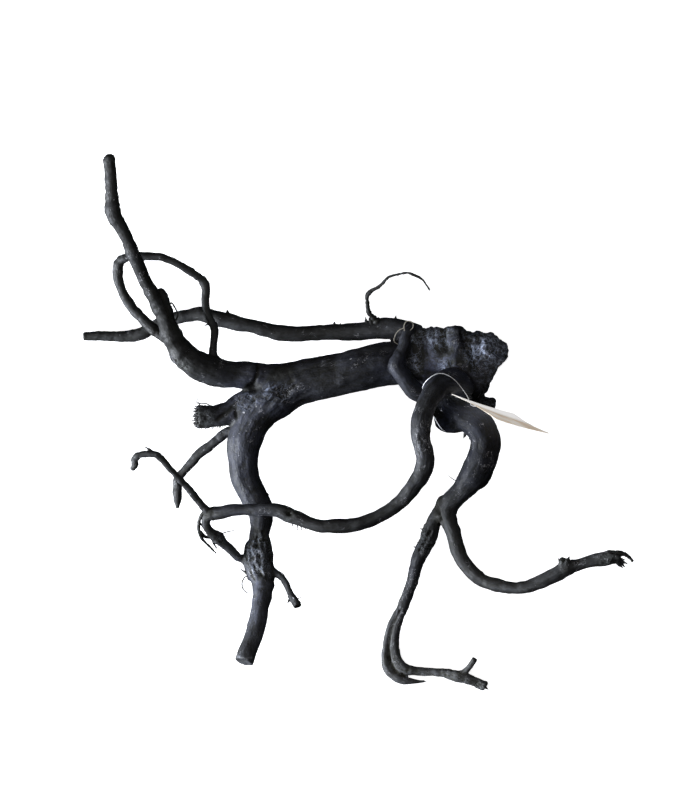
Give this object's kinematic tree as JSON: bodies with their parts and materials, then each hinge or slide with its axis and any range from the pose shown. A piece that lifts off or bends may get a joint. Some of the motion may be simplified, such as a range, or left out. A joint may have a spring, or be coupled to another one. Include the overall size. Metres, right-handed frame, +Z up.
{
  "type": "dry root",
  "caption": "Dry dark root that lies on a surface: a gnarled knot, an arched trunk with a long horn and winding roots, and a blank card tag on a loop.",
  "frame": {"origin": "on the table, below the middle of the box round the root", "axes": "+Z up from the table, +X from the thin left end towards the knot and the long arm, +Y towards the tip of the horn"},
  "size_m": [0.4388, 0.4267, 0.1072],
  "materials": {
    "wood": "dry charcoal-dark wood, matte with a soft sheen on its worn ridges",
    "card": "plain blank white card",
    "loop": "clear stiff plastic thread"
  },
  "bodies": {
    "root": {"root": "wood", "hang_tag": "card", "tag_loop": "loop"}
  },
  "joints": []
}
